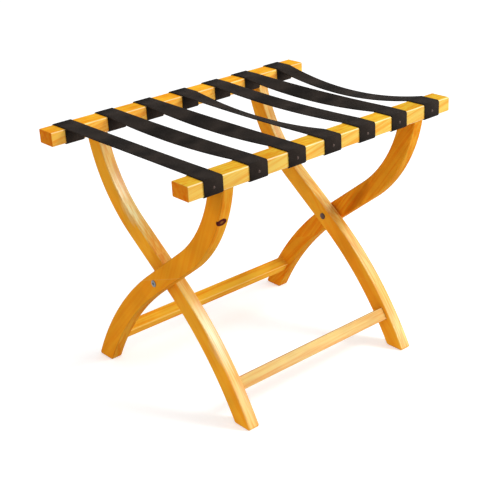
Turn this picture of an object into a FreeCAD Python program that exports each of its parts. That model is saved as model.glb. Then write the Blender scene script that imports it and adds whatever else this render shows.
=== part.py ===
import FreeCAD, Part

import math
import os

# Hotel luggage bench: a folding scissor rack of bent wooden legs with webbing straps across two rails.
# Millimetres. X runs along the rails, -Y is the near side, +Z is up, and the origin is the middle of the
# floor area. The outer frame holds the near rail and stands on the far side. The inner frame holds the far
# rail and stands on the near side. The frames turn on one axis, along X, where the legs cross.

# ---- Driving dimensions: whole bench ----
RAIL_LENGTH = 600.0
RAIL_SPACING = 387.0  # between the centre lines of the two rails
RAIL_TOP = 480.0  # height of the wooden rails above the floor

# ---- Driving dimensions: wooden sections ----
RAIL_WIDTH = 41.0
RAIL_HEIGHT = 26.0
RAIL_EDGE_RADIUS = 2.5
RAIL_END_RADIUS = 1.0
LEG_THICKNESS = 23.4  # along X
LEG_WIDTH = 36.5  # across the curve of the leg
LEG_EDGE_RADIUS = 2.5
STRETCHER_THICKNESS = 23.5  # across the leg's curve
STRETCHER_DEPTH = 23.5  # along the leg's curve
STRETCHER_EDGE_RADIUS = 2.5

# ---- Driving dimensions: the curve of a leg, as angles of its centre line from the vertical ----
LEG_TOP_ANGLE = 11.0
LEG_MIDDLE_ANGLE = 53.0
LEG_FOOT_ANGLE = 27.2
UPPER_BEND_RADIUS = 265.0
LOWER_BEND_RADIUS = 634.0
HEEL_RADIUS = 6.0
TOE_RADIUS = 3.5

# ---- Driving dimensions: where the pieces stand ----
OUTER_LEG_X = 220.6  # middle of an outer leg, either side of the centre
INNER_LEG_X = 194.1
STRETCHER_HEIGHT = 60.5  # middle of a stretcher above the floor

# ---- Driving dimensions: dowels ----
RAIL_DOWEL_RADIUS = 4.0
RAIL_DOWEL_LENGTH = 34.0
RAIL_DOWEL_IN_RAIL = 15.0
RAIL_DOWEL_SPACING = 16.0
STRETCHER_DOWEL_RADIUS = 3.0
STRETCHER_DOWEL_LENGTH = 30.0
STRETCHER_DOWEL_IN_LEG = 13.0
STRETCHER_DOWEL_SPACING = 11.0
DOWEL_CHAMFER = 0.8
GLUE_GAP = 0.05  # radial room for glue round a dowel or a tack
HOLE_EXTRA_DEPTH = 1.0

# ---- Driving dimensions: the pivot, a joint bolt in a sleeve nut on each side ----
SLEEVE_RADIUS = 4.0
SLEEVE_RUNNING_GAP = 0.05  # radial, between the sleeve and the bore of the inner leg
SLEEVE_IN_OUTER_LEG = 9.0
PIVOT_FLANGE_RADIUS = 6.25
PIVOT_FLANGE_THICKNESS = 1.8
PIVOT_FLANGE_CROWN = 0.8
BOLT_RADIUS = 3.0
BOLT_TIP_IN_SLEEVE = 20.0  # how far the bolt reaches past the mouth of the sleeve
BOLT_FIT_GAP = 0.03
HEX_SOCKET_ACROSS_FLATS = 4.0
HEX_SOCKET_DEPTH = 1.6
SPACER_RADIUS = 9.0
SIDE_CLEARANCE = 0.3  # between pieces of the two frames, along X

# ---- Driving dimensions: straps and their tacks ----
STRAP_WIDTH = 38.0
STRAP_THICKNESS = 1.6
STRAP_GAP = 0.25  # between the webbing and the wood
TACK_HEAD_RADIUS = 2.6
TACK_HEAD_HEIGHT = 1.1
TACK_SHANK_RADIUS = 0.9
TACK_SHANK_LENGTH = 15.0
TACK_POINT_RADIUS = 0.15
TACK_HOLE_GAP = 0.35  # radial, in the webbing
TACK_BELOW_MIDDLE = 1.0  # a tack sits this far below the middle of the rail's side

# The middle of each strap along X on the near and on the far rail, then how far its left and its right
# edge hang down at mid span. The straps are neither evenly spaced nor equally tight: most of them run a
# little askew, the fourth leans and the seventh sags the most. The first and the last wrap the near rail
# just outside the outer legs, and the sixth wraps the far rail just inside an inner leg.
STRAPS = (
    (-251.6, -253.1, 0.3, 0.3),
    (-159.8, -163.0, 7.8, 1.8),
    (-77.0, -77.2, 7.9, 0.9),
    (4.1, 6.5, 2.3, 13.0),
    (86.0, 86.5, 6.8, 4.1),
    (166.1, 163.1, 11.2, 2.7),
    (251.6, 248.8, 19.1, 20.7),
)

# ---- Worked out from the dimensions above ----
RAIL_BOTTOM = RAIL_TOP - RAIL_HEIGHT
RAIL_MIDDLE = RAIL_TOP - RAIL_HEIGHT / 2
RAIL_Y = RAIL_SPACING / 2
LEG_GAP = OUTER_LEG_X - INNER_LEG_X - LEG_THICKNESS
OUTER_LEG_INSIDE = OUTER_LEG_X - LEG_THICKNESS / 2
OUTER_LEG_OUTSIDE = OUTER_LEG_X + LEG_THICKNESS / 2
INNER_LEG_INSIDE = INNER_LEG_X - LEG_THICKNESS / 2
TOP_ANGLE = math.radians(LEG_TOP_ANGLE)
MIDDLE_ANGLE = math.radians(LEG_MIDDLE_ANGLE)
FOOT_ANGLE = math.radians(LEG_FOOT_ANGLE)
UPPER_BEND_DROP = UPPER_BEND_RADIUS * (math.sin(MIDDLE_ANGLE) - math.sin(TOP_ANGLE))
LOWER_BEND_DROP = LOWER_BEND_RADIUS * (math.sin(MIDDLE_ANGLE) - math.sin(FOOT_ANGLE))
STRAIGHT_LENGTH = (RAIL_BOTTOM - UPPER_BEND_DROP - LOWER_BEND_DROP) / math.cos(MIDDLE_ANGLE)
STRAP_OUTER_OFFSET = STRAP_GAP + STRAP_THICKNESS
STRAP_TOP = RAIL_TOP + STRAP_OUTER_OFFSET
STRAP_SPAN_END = RAIL_Y - RAIL_WIDTH / 2 + RAIL_EDGE_RADIUS  # where the top of a rail starts to round off
TACK_UNDERSIDE = RAIL_Y + RAIL_WIDTH / 2 + STRAP_OUTER_OFFSET + STRAP_GAP
TACK_Z = RAIL_MIDDLE - TACK_BELOW_MIDDLE

NEAR = -1
FAR = 1
LEFT = -1
RIGHT = 1
ALONG_X = FreeCAD.Vector(1, 0, 0)
UP = FreeCAD.Vector(0, 0, 1)
SAME_PLACE = 0.01  # two lengths this close count as equal
THROUGH = 1.0  # how far a cutting tool passes beyond the face that it cuts through
HEX_SIDES = 6


def along(angle):
    """The direction down a leg's centre line, in Y and Z, where it leans by angle."""
    return FreeCAD.Vector(0, math.sin(angle), -math.cos(angle))


def across(angle):
    """The direction square to the centre line, towards the leg's upper side."""
    return FreeCAD.Vector(0, math.cos(angle), math.sin(angle))


def leg_stations():
    """The centre line of an outer leg: its points and angles where one stretch meets the next."""
    top = FreeCAD.Vector(0, -RAIL_Y, RAIL_BOTTOM)
    upper_bend_end = top + (across(TOP_ANGLE) - across(MIDDLE_ANGLE)) * UPPER_BEND_RADIUS
    straight_end = upper_bend_end + along(MIDDLE_ANGLE) * STRAIGHT_LENGTH
    foot = straight_end + (across(FOOT_ANGLE) - across(MIDDLE_ANGLE)) * LOWER_BEND_RADIUS
    return top, straight_end, foot


LEG_TOP, STRAIGHT_END, FOOT = leg_stations()
UPPER_BEND_CENTRE = LEG_TOP + across(TOP_ANGLE) * UPPER_BEND_RADIUS
LOWER_BEND_CENTRE = FOOT - across(FOOT_ANGLE) * LOWER_BEND_RADIUS
PIVOT_Z = STRAIGHT_END.z + STRAIGHT_END.y / math.tan(MIDDLE_ANGLE)  # where the centre line passes y = 0


def arc(first, middle, last):
    return Part.Arc(first, middle, last).toShape()


def bend_point(centre, angle, radius):
    """A point of a bend, radius from its centre. A negative radius is on the upper bend."""
    return centre + across(angle) * radius


def leg_side(offset):
    """One side of the leg's outline from the top down, offset from the centre line to its upper side."""
    upper = UPPER_BEND_RADIUS - offset
    lower = LOWER_BEND_RADIUS + offset
    rail_angle = math.asin((UPPER_BEND_CENTRE.z - RAIL_BOTTOM) / upper)  # where this side meets the rail
    floor_angle = math.asin(-LOWER_BEND_CENTRE.z / lower)
    bend_start = bend_point(UPPER_BEND_CENTRE, rail_angle, -upper)
    bend_middle = bend_point(UPPER_BEND_CENTRE, (rail_angle + MIDDLE_ANGLE) / 2, -upper)
    bend_end = bend_point(UPPER_BEND_CENTRE, MIDDLE_ANGLE, -upper)
    foot_start = bend_point(LOWER_BEND_CENTRE, MIDDLE_ANGLE, lower)
    foot_middle = bend_point(LOWER_BEND_CENTRE, (MIDDLE_ANGLE + floor_angle) / 2, lower)
    foot_end = bend_point(LOWER_BEND_CENTRE, floor_angle, lower)
    return [
        arc(bend_start, bend_middle, bend_end),
        Part.makeLine(bend_end, foot_start),
        arc(foot_start, foot_middle, foot_end),
    ]


def leg_blank():
    """An outer leg before its joints are cut, lying half its thickness each side of x = 0."""
    upper_side = leg_side(LEG_WIDTH / 2)
    lower_side = leg_side(-LEG_WIDTH / 2)
    top_line = Part.makeLine(upper_side[0].Vertexes[0].Point, lower_side[0].Vertexes[0].Point)
    toe = upper_side[-1].Vertexes[-1].Point
    heel = lower_side[-1].Vertexes[-1].Point
    outline = Part.Wire(Part.__sortEdges__([top_line, *upper_side, Part.makeLine(toe, heel), *lower_side]))
    prism = Part.Face(outline).extrude(FreeCAD.Vector(LEG_THICKNESS, 0, 0))
    prism.translate(FreeCAD.Vector(-LEG_THICKNESS / 2, 0, 0))
    prism = foot_rounded(prism, heel, HEEL_RADIUS)
    prism = foot_rounded(prism, toe, TOE_RADIUS)
    return prism.makeFillet(LEG_EDGE_RADIUS, side_outline_edges(prism))


def foot_rounded(prism, corner, radius):
    """The prism with the foot's edge at one corner of its outline rounded off."""
    edges = []
    for edge in prism.Edges:
        if all((vertex.Point - corner).cross(ALONG_X).Length < SAME_PLACE for vertex in edge.Vertexes):
            edges.append(edge)
    return prism.makeFillet(radius, edges)


def side_outline_edges(prism):
    """The edges round the two flat sides of a leg, without those at its top end."""
    edges = []
    for edge in prism.Edges:
        ends = [vertex.Point for vertex in edge.Vertexes]
        on_a_side = abs(ends[0].x - ends[1].x) < SAME_PLACE
        at_the_top = all(end.z > RAIL_BOTTOM - SAME_PLACE for end in ends)
        if on_a_side and not at_the_top:
            edges.append(edge)
    return edges


def bar(length, width, height, edge_radius, end_radius):
    """A wooden bar along X, centred on the origin, with rounded long edges and softened ends."""
    block = Part.makeBox(length, width, height, FreeCAD.Vector(-length / 2, -width / 2, -height / 2))
    long_edges = [edge for edge in block.Edges if runs_along_x(edge)]
    block = block.makeFillet(edge_radius, long_edges)
    if end_radius:
        end_edges = [edge for edge in block.Edges if not runs_along_x(edge)]
        block = block.makeFillet(end_radius, end_edges)
    return block


def runs_along_x(edge):
    return abs(edge.Vertexes[0].Point.x - edge.Vertexes[-1].Point.x) > SAME_PLACE


def cylinder(start, direction, radius, length):
    return Part.makeCylinder(radius, length, start, direction)


def dowel(start, direction, radius, length):
    """A wooden dowel with both ends bevelled."""
    plain = cylinder(start, direction, radius, length - 2 * DOWEL_CHAMFER)
    plain.translate(direction * DOWEL_CHAMFER)
    tip = radius - DOWEL_CHAMFER
    near_tip = Part.makeCone(tip, radius, DOWEL_CHAMFER, start, direction)
    far_start = start + direction * (length - DOWEL_CHAMFER)
    far_tip = Part.makeCone(radius, tip, DOWEL_CHAMFER, far_start, direction)
    return plain.fuse([near_tip, far_tip]).removeSplitter()


def dowel_hole(start, direction, radius, length):
    """The hole that a dowel sits in, a little wider and longer than the dowel."""
    return cylinder(
        start - direction * HOLE_EXTRA_DEPTH, direction, radius + GLUE_GAP, length + 2 * HOLE_EXTRA_DEPTH
    )


def rail_dowel_places(leg_x, side):
    """Start and direction of the two dowels between a rail and one leg, on one side of the bench."""
    bottom = RAIL_BOTTOM + RAIL_DOWEL_IN_RAIL - RAIL_DOWEL_LENGTH
    places = []
    for leg_side_x in (-leg_x, leg_x):
        for step in (-RAIL_DOWEL_SPACING / 2, RAIL_DOWEL_SPACING / 2):
            places.append((FreeCAD.Vector(leg_side_x, side * RAIL_Y + step, bottom), UP))
    return places


def stretcher_centre():
    """Where a leg's centre line passes the stretcher's height, and the angle that it has there."""
    angle = math.asin((STRETCHER_HEIGHT - LOWER_BEND_CENTRE.z) / LOWER_BEND_RADIUS)
    return bend_point(LOWER_BEND_CENTRE, angle, LOWER_BEND_RADIUS), angle


def stretcher_dowel_places(inside_x):
    """Start and direction of the dowels at both ends of the far stretcher."""
    centre, angle = stretcher_centre()
    places = []
    for side in (LEFT, RIGHT):
        inwards = ALONG_X * -side
        for step in (-STRETCHER_DOWEL_SPACING / 2, STRETCHER_DOWEL_SPACING / 2):
            end = FreeCAD.Vector(side * (inside_x + STRETCHER_DOWEL_IN_LEG), 0, 0)
            places.append((centre + end + along(angle) * step, inwards))
    return places


def group(places, make, radius, length):
    """Separate solids of one kind of fastener, made at each place."""
    return Part.makeCompound([make(start, direction, radius, length) for start, direction in places])


def mirrored(shape):
    """The shape as it is on the inner frame, which leans the other way."""
    return shape.mirror(FreeCAD.Vector(0, 0, 0), FreeCAD.Vector(0, 1, 0))


def make_tack(start, inwards):
    """One domed tack. start is the middle of the head's underside, and inwards points into the rail."""
    head_ball = (TACK_HEAD_RADIUS**2 + TACK_HEAD_HEIGHT**2) / (2 * TACK_HEAD_HEIGHT)
    ball = Part.makeSphere(head_ball, start + inwards * (head_ball - TACK_HEAD_HEIGHT))
    head = ball.common(cylinder(start, inwards * -1, 2 * TACK_HEAD_RADIUS, 2 * TACK_HEAD_HEIGHT))
    point_length = 2 * TACK_SHANK_RADIUS
    straight_length = TACK_SHANK_LENGTH - point_length
    shank = cylinder(start, inwards, TACK_SHANK_RADIUS, straight_length)
    point_start = start + inwards * straight_length
    point = Part.makeCone(TACK_SHANK_RADIUS, TACK_POINT_RADIUS, point_length, point_start, inwards)
    return head.fuse([shank, point]).removeSplitter()


def tack_places(side):
    """Start and direction of the tacks, one in each strap, on the outer face of one rail."""
    inwards = FreeCAD.Vector(0, -side, 0)
    places = []
    for near_x, far_x, _, _ in STRAPS:
        x = near_x if side == NEAR else far_x
        places.append((FreeCAD.Vector(x, side * TACK_UNDERSIDE, TACK_Z), inwards))
    return places


def make_rail(leg_x, side):
    """A rail with the holes for its dowels and tacks."""
    rail = bar(RAIL_LENGTH, RAIL_WIDTH, RAIL_HEIGHT, RAIL_EDGE_RADIUS, RAIL_END_RADIUS)
    rail.translate(FreeCAD.Vector(0, side * RAIL_Y, RAIL_MIDDLE))
    holes = []
    for start, up in rail_dowel_places(leg_x, side):
        holes.append(dowel_hole(start, up, RAIL_DOWEL_RADIUS, RAIL_DOWEL_LENGTH))
    for start, inwards in tack_places(side):
        holes.append(cylinder(start, inwards, TACK_SHANK_RADIUS + GLUE_GAP, TACK_SHANK_LENGTH + GLUE_GAP))
    return rail.cut(Part.makeCompound(holes))


def pivot_cylinder(x_from, x_to, radius):
    """A cylinder on the pivot axis between two places along X."""
    direction = ALONG_X if x_to > x_from else ALONG_X * -1
    return cylinder(FreeCAD.Vector(x_from, 0, PIVOT_Z), direction, radius, abs(x_to - x_from))


def make_outer_leg(side):
    """An outer leg: under the near rail, with its foot on the far side."""
    leg = leg_blank()
    leg.translate(FreeCAD.Vector(side * OUTER_LEG_X, 0, 0))
    sleeve_bore_end = OUTER_LEG_INSIDE + SLEEVE_IN_OUTER_LEG + HOLE_EXTRA_DEPTH
    cuts = [
        pivot_cylinder(side * INNER_LEG_X, side * sleeve_bore_end, SLEEVE_RADIUS + SLEEVE_RUNNING_GAP),
        pivot_cylinder(side * INNER_LEG_X, side * (OUTER_LEG_OUTSIDE + THROUGH), BOLT_RADIUS + GLUE_GAP),
    ]
    for start, up in rail_dowel_places(OUTER_LEG_X, NEAR):
        cuts.append(dowel_hole(start, up, RAIL_DOWEL_RADIUS, RAIL_DOWEL_LENGTH))
    for start, inwards in stretcher_dowel_places(OUTER_LEG_INSIDE):
        cuts.append(dowel_hole(start, inwards, STRETCHER_DOWEL_RADIUS, STRETCHER_DOWEL_LENGTH))
    for cutter in cuts:
        leg = leg.cut(cutter)
    return leg


def make_inner_leg(side):
    """An inner leg: under the far rail, with its foot on the near side. The sleeve nut turns in its bore."""
    leg = mirrored(leg_blank())
    leg.translate(FreeCAD.Vector(side * INNER_LEG_X, 0, 0))
    bore_start = side * (INNER_LEG_INSIDE - THROUGH)
    cuts = [pivot_cylinder(bore_start, side * OUTER_LEG_X, SLEEVE_RADIUS + SLEEVE_RUNNING_GAP)]
    for start, up in rail_dowel_places(INNER_LEG_X, FAR):
        cuts.append(dowel_hole(start, up, RAIL_DOWEL_RADIUS, RAIL_DOWEL_LENGTH))
    for start, inwards in stretcher_dowel_places(INNER_LEG_INSIDE):
        cuts.append(mirrored(dowel_hole(start, inwards, STRETCHER_DOWEL_RADIUS, STRETCHER_DOWEL_LENGTH)))
    for cutter in cuts:
        leg = leg.cut(cutter)
    return leg


def make_far_stretcher(inside_x):
    """A stretcher between the lower ends of two legs, set along their curve, as it is on the outer frame."""
    centre, angle = stretcher_centre()
    stretcher = bar(2 * inside_x, STRETCHER_THICKNESS, STRETCHER_DEPTH, STRETCHER_EDGE_RADIUS, 0)
    stretcher.rotate(FreeCAD.Vector(0, 0, 0), ALONG_X, math.degrees(angle))
    stretcher.translate(centre)
    for start, inwards in stretcher_dowel_places(inside_x):
        hole = dowel_hole(start, inwards, STRETCHER_DOWEL_RADIUS, STRETCHER_DOWEL_LENGTH)
        stretcher = stretcher.cut(hole)
    return stretcher


def crowned_flange(face_x, side):
    """The low domed disc that shows at either end of the pivot. Its flat face lies at face_x."""
    start = FreeCAD.Vector(face_x, 0, PIVOT_Z)
    outwards = ALONG_X * side
    ball_radius = (PIVOT_FLANGE_RADIUS**2 + PIVOT_FLANGE_CROWN**2) / (2 * PIVOT_FLANGE_CROWN)
    rim = PIVOT_FLANGE_THICKNESS - PIVOT_FLANGE_CROWN
    ball = Part.makeSphere(ball_radius, start + outwards * (rim + PIVOT_FLANGE_CROWN - ball_radius))
    return cylinder(start, outwards, PIVOT_FLANGE_RADIUS, PIVOT_FLANGE_THICKNESS).common(ball)


def make_pivot_bolt(side):
    """The joint bolt: its head on the outer leg's outer face, its shank in the sleeve nut."""
    head = crowned_flange(side * OUTER_LEG_OUTSIDE, side)
    sleeve_mouth = OUTER_LEG_INSIDE + SLEEVE_IN_OUTER_LEG
    tip = sleeve_mouth - BOLT_TIP_IN_SLEEVE
    shank = pivot_cylinder(side * OUTER_LEG_OUTSIDE, side * tip, BOLT_RADIUS)
    socket_start = side * (OUTER_LEG_OUTSIDE + PIVOT_FLANGE_THICKNESS - HEX_SOCKET_DEPTH)
    corner = HEX_SOCKET_ACROSS_FLATS / math.sqrt(3)
    points = []
    for step in range(HEX_SIDES + 1):
        turn = 2 * math.pi * step / HEX_SIDES
        y = corner * math.cos(turn)
        z = PIVOT_Z + corner * math.sin(turn)
        points.append(FreeCAD.Vector(socket_start, y, z))
    socket = Part.Face(Part.makePolygon(points)).extrude(ALONG_X * (side * (HEX_SOCKET_DEPTH + THROUGH)))
    return head.fuse(shank).removeSplitter().cut(socket)


def make_sleeve_nut(side):
    """The sleeve nut: its flange inside the inner leg, its sleeve through that leg into the outer leg."""
    flange = crowned_flange(side * (INNER_LEG_INSIDE - SIDE_CLEARANCE), -side)
    sleeve_mouth = OUTER_LEG_INSIDE + SLEEVE_IN_OUTER_LEG
    sleeve = pivot_cylinder(side * (INNER_LEG_INSIDE - SIDE_CLEARANCE), side * sleeve_mouth, SLEEVE_RADIUS)
    thread_end = sleeve_mouth - BOLT_TIP_IN_SLEEVE - HOLE_EXTRA_DEPTH
    thread = pivot_cylinder(side * (sleeve_mouth + THROUGH), side * thread_end, BOLT_RADIUS + BOLT_FIT_GAP)
    return flange.fuse(sleeve).removeSplitter().cut(thread)


def make_spacer(side):
    """The nylon spacer round the sleeve, between the outer and the inner leg."""
    inner_face = OUTER_LEG_INSIDE - LEG_GAP + SIDE_CLEARANCE
    disc = pivot_cylinder(side * inner_face, side * OUTER_LEG_INSIDE, SPACER_RADIUS)
    bore = pivot_cylinder(side * INNER_LEG_X, side * OUTER_LEG_X, SLEEVE_RADIUS + SLEEVE_RUNNING_GAP)
    return disc.cut(bore)


def rail_section(x, side, width, offset):
    """A block round x, width long along a rail, with the rail's section grown by offset all round."""
    block = bar(width, RAIL_WIDTH + 2 * offset, RAIL_HEIGHT + 2 * offset, RAIL_EDGE_RADIUS + offset, 0)
    block.translate(FreeCAD.Vector(x, side * RAIL_Y, RAIL_MIDDLE))
    return block


def strap_wrap(x, side):
    """The turn of webbing round one rail."""
    outside = rail_section(x, side, STRAP_WIDTH, STRAP_OUTER_OFFSET)
    return outside.cut(rail_section(x, side, STRAP_WIDTH + 2 * THROUGH, STRAP_GAP))


def strap_edge_profile(near_x, far_x, sag):
    """The side view of the free span at one edge of a strap, as a closed wire."""
    down = UP * -STRAP_THICKNESS
    near_end = FreeCAD.Vector(near_x, -STRAP_SPAN_END, STRAP_TOP)
    middle = FreeCAD.Vector((near_x + far_x) / 2, 0, STRAP_TOP - sag)
    far_end = FreeCAD.Vector(far_x, STRAP_SPAN_END, STRAP_TOP)
    return Part.Wire(
        [
            arc(near_end, middle, far_end),
            Part.makeLine(far_end, far_end + down),
            arc(far_end + down, middle + down, near_end + down),
            Part.makeLine(near_end + down, near_end),
        ]
    )


def make_strap(near_x, far_x, left_sag, right_sag):
    """One strap: wrapped round both rails, with its free span between them."""
    half_width = STRAP_WIDTH / 2
    left_edge = strap_edge_profile(near_x - half_width, far_x - half_width, left_sag)
    right_edge = strap_edge_profile(near_x + half_width, far_x + half_width, right_sag)
    span = Part.makeLoft([left_edge, right_edge], True, True)
    strap = span.fuse([strap_wrap(near_x, NEAR), strap_wrap(far_x, FAR)]).removeSplitter()
    for x, side in ((near_x, NEAR), (far_x, FAR)):
        start = FreeCAD.Vector(x, side * TACK_UNDERSIDE, TACK_Z)
        inwards = FreeCAD.Vector(0, -side, 0)
        depth = STRAP_OUTER_OFFSET + THROUGH
        strap = strap.cut(cylinder(start, inwards, TACK_SHANK_RADIUS + TACK_HOLE_GAP, depth))
    return strap


def make_parts():
    """Every piece of the bench, by the name of its node."""
    near_dowels = rail_dowel_places(OUTER_LEG_X, NEAR)
    far_dowels = rail_dowel_places(INNER_LEG_X, FAR)
    outer_dowels = stretcher_dowel_places(OUTER_LEG_INSIDE)
    inner_dowels = stretcher_dowel_places(INNER_LEG_INSIDE)
    parts = {
        "near_rail": make_rail(OUTER_LEG_X, NEAR),
        "far_rail": make_rail(INNER_LEG_X, FAR),
        "far_stretcher": make_far_stretcher(OUTER_LEG_INSIDE),
        "near_stretcher": mirrored(make_far_stretcher(INNER_LEG_INSIDE)),
        "near_rail_dowels": group(near_dowels, dowel, RAIL_DOWEL_RADIUS, RAIL_DOWEL_LENGTH),
        "far_rail_dowels": group(far_dowels, dowel, RAIL_DOWEL_RADIUS, RAIL_DOWEL_LENGTH),
        "far_stretcher_dowels": group(outer_dowels, dowel, STRETCHER_DOWEL_RADIUS, STRETCHER_DOWEL_LENGTH),
        "near_stretcher_dowels": mirrored(
            group(inner_dowels, dowel, STRETCHER_DOWEL_RADIUS, STRETCHER_DOWEL_LENGTH)
        ),
        "near_strap_tacks": Part.makeCompound([make_tack(*place) for place in tack_places(NEAR)]),
        "far_strap_tacks": Part.makeCompound([make_tack(*place) for place in tack_places(FAR)]),
    }
    for name, side in (("left", LEFT), ("right", RIGHT)):
        parts["outer_leg_" + name] = make_outer_leg(side)
        parts["inner_leg_" + name] = make_inner_leg(side)
        parts["pivot_bolt_" + name] = make_pivot_bolt(side)
        parts["pivot_sleeve_nut_" + name] = make_sleeve_nut(side)
        parts["pivot_spacer_" + name] = make_spacer(side)
    for number, strap in enumerate(STRAPS, start=1):
        parts["strap_" + str(number)] = make_strap(*strap)
    return parts


def main():
    os.makedirs("parts", exist_ok=True)
    for name, shape in make_parts().items():
        shape.exportStep(os.path.join("parts", name + ".step"))
        state = "valid" if shape.isValid() else "NOT VALID"
        print(name, state, len(shape.Solids), "solid(s)", round(shape.Volume), "mm3")
    print("pivot height", round(PIVOT_Z, 3), "foot y", round(FOOT.y, 3), "leg gap", LEG_GAP)


main()
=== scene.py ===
import math

import bpy
from bpy.props import FloatProperty, FloatVectorProperty, PointerProperty
from mathutils import Matrix, Vector


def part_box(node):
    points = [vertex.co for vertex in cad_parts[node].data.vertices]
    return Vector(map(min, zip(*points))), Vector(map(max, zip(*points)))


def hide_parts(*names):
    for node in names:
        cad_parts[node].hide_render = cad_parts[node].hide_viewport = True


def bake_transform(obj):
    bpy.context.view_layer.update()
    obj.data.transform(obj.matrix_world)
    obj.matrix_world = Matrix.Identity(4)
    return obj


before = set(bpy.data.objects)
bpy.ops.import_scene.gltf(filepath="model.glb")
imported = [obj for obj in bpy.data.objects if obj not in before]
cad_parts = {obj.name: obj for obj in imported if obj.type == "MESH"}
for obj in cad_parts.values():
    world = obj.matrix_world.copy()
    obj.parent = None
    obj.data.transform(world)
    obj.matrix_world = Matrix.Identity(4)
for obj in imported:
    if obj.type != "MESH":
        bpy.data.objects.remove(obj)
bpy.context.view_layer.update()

bl_info = {
    "name": "Folding luggage bench",
    "version": (1, 0, 0),
    "blender": (4, 5, 0),
    "location": "3D View > Sidebar > Bench",
    "description": "Weaves the straps, finishes the wood and the fittings, and sets up a plain studio",
    "category": "Object",
}

MM = 0.001
SIDES = ("left", "right")

# The sockets of a Mix node: the share of the second value, then both values and what comes out.
SHARE = 0
NUMBER_1, NUMBER_2, NUMBER_OUT = 2, 3, 0
PLACE_1, PLACE_2, PLACE_OUT = 4, 5, 1
COLOUR_1, COLOUR_2, COLOUR_OUT = 6, 7, 2

# ---- The rails that the straps are wound on, in millimetres, to a hundredth ----
NEAR_LOW, NEAR_HIGH = (Vector([round(c / MM, 2) for c in corner]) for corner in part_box("near_rail"))
FAR_LOW = Vector([round(c / MM, 2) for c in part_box("far_rail")[0]])
RAIL_SPACING = FAR_LOW.y - NEAR_LOW.y
RAIL_TOP = NEAR_HIGH.z
RAIL_WIDTH = NEAR_HIGH.y - NEAR_LOW.y
RAIL_HEIGHT = NEAR_HIGH.z - NEAR_LOW.z
RAIL_EDGE_RADIUS = 2.5

# ---- The straps, in millimetres and degrees ----
STRAP_GAP = 0.25  # between the webbing and the wood
# Each strap's middle along X on the near and on the far rail, how far its left and right edges hang down
# at mid span, and how much narrower it has drawn in there.
STRAPS = (
    (-251.6, -253.1, 0.3, 0.3, 1.2),
    (-159.8, -163.0, 7.8, 1.8, 0.5),
    (-77.0, -77.2, 7.9, 0.9, 0.5),
    (4.1, 6.5, 2.3, 13.0, 0.3),
    (86.0, 86.5, 6.8, 4.1, 0.5),
    (166.1, 163.1, 11.2, 2.7, 0.5),
    (251.6, 248.8, 19.1, 20.7, 0.3),
)
SPAN_STEPS = 48
CORNER_STEPS = 6
FACE_STEPS = 4
TOP_COLUMNS = 9
SELVEDGE_STEPS = 3
TUCKED_END_ANGLE = 22.0  # where the end of a strap stops on the rail's rounded edge, below its own span
WEFT_PITCH = 1.2  # in warp pitches: the weft yarns lie further apart
LINT_SIZE = 2.857  # tufts of lint; a single fibre is too fine to see
WEAR_AND_SHEEN_SIZE = 62.5  # length of a lighter stretch, partly yarn paled by wear and partly painted sheen
# Painted shade between the yarns and painted highlight on top of them, as shares of the yarn's colour.
PAINTED_HOLLOW_SHADE = 0.6  # of the yarn's colour, between the yarns
PAINTED_RIDGE_HIGHLIGHT = 1.9  # and on top of them
WEAR_AND_SHEEN_TONES = {"To Min": 0.6, "To Max": 2.0}  # brightness of the darkest and the lightest stretch: partly yarn paled by wear, partly painted sheen
WEAVE_RELIEF = 0.3

# ---- The figure of the pine, in millimetres ----
RING_PUSH = 14.0  # how far the rings stray from round
RING_BEND = 45.45  # how long such a bend in a ring is
RING_STRETCH = (1.0, 1.0, 0.1)  # the bends are drawn out tenfold along the grain
STREAK_WIDTH = 7.692
FIBRE_WIDTH = 2.632  # a real fibre is well under 0.1 wide, too fine to see
FIBRE_STRETCH = 0.03  # along the grain, where streaks and fibre are some thirty times longer than wide
TONE_SIZE = 71.4  # the tone changes slowly, over a hand's width
TONE_CHANGE = {"To Min": 0.9, "To Max": 1.1}
MOTTLE_SIZE = 9.09  # mottling of the end grain, where the lacquer has soaked in unevenly
GLUE_LINE = 1.6  # a real glue line is under 0.2, too fine to see
WOOD_RELIEF = 0.3  # deeper than on real planed wood, so that it shows
RING_RELIEF = 0.4  # how high the rings stand, where the fibre is 1

# Shares of darkness, from none at 0 to the full summer wood at 1.
RING_TONES = ((0.0, 1.0), (0.14, 0.05), (0.55, 0.15), (0.9, 0.85))  # part of the year, darkness
RING_STRENGTHS = {"To Min": 0.2, "To Max": 0.8}  # some years leave a stronger ring than others
STREAK_TONES = {"To Min": -0.3, "To Max": 0.8}
FIBRE_TONE = 0.35
MOTTLE_TONES = {"To Min": -0.3, "To Max": 1.1}
KNOT_TONES = ((0.0, 0.7), (0.2, 0.78), (0.42, 1.0), (0.85, 1.0), (1.0, 0.0))  # distance, darkness

# Ranges of a value that are stretched to run from 0 to 1, or over the tones above.
NOISE_SPAN = {"From Min": 0.3, "From Max": 0.7}  # where nearly all values of a noise lie
LINE_SPAN = {"From Min": 0.32, "From Max": 0.68}
WEAR_AND_SHEEN_SPAN = {"From Min": 0.38, "From Max": 0.66}
FLECK_SPAN = {"From Min": 0.1, "From Max": 0.45}
SAWN_FACE = {"From Min": 0.6, "From Max": 0.95}  # the normal's part along X
UPPER_FACE = {"From Min": 0.8, "From Max": 0.97}  # the normal's part along Z
BAR_END = {"From Min": 0.05, "From Max": 0.4}  # the normal's part along X, from the sides to the end
# The fourth powers of a normal's parts add up to 1 on a flat face and to 0.5 half way round an edge.
ROUNDED_EDGE = {"From Min": 0.95, "From Max": 0.5}
PATCH_RIM = {"From Min": 1.2, "From Max": 0.4}  # distance from a patch's middle, where 1 is its rim
SPOT_BENDS = 1.3  # bends in the rim of a spot for each half size

DULL_GLOSS = 0.04  # shine of sawn and upper faces
COAT_ROUGHNESS = 0.27
STRETCHER_TURN = 33.54  # degrees about X: the stretchers stand square to the legs that hold them
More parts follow.
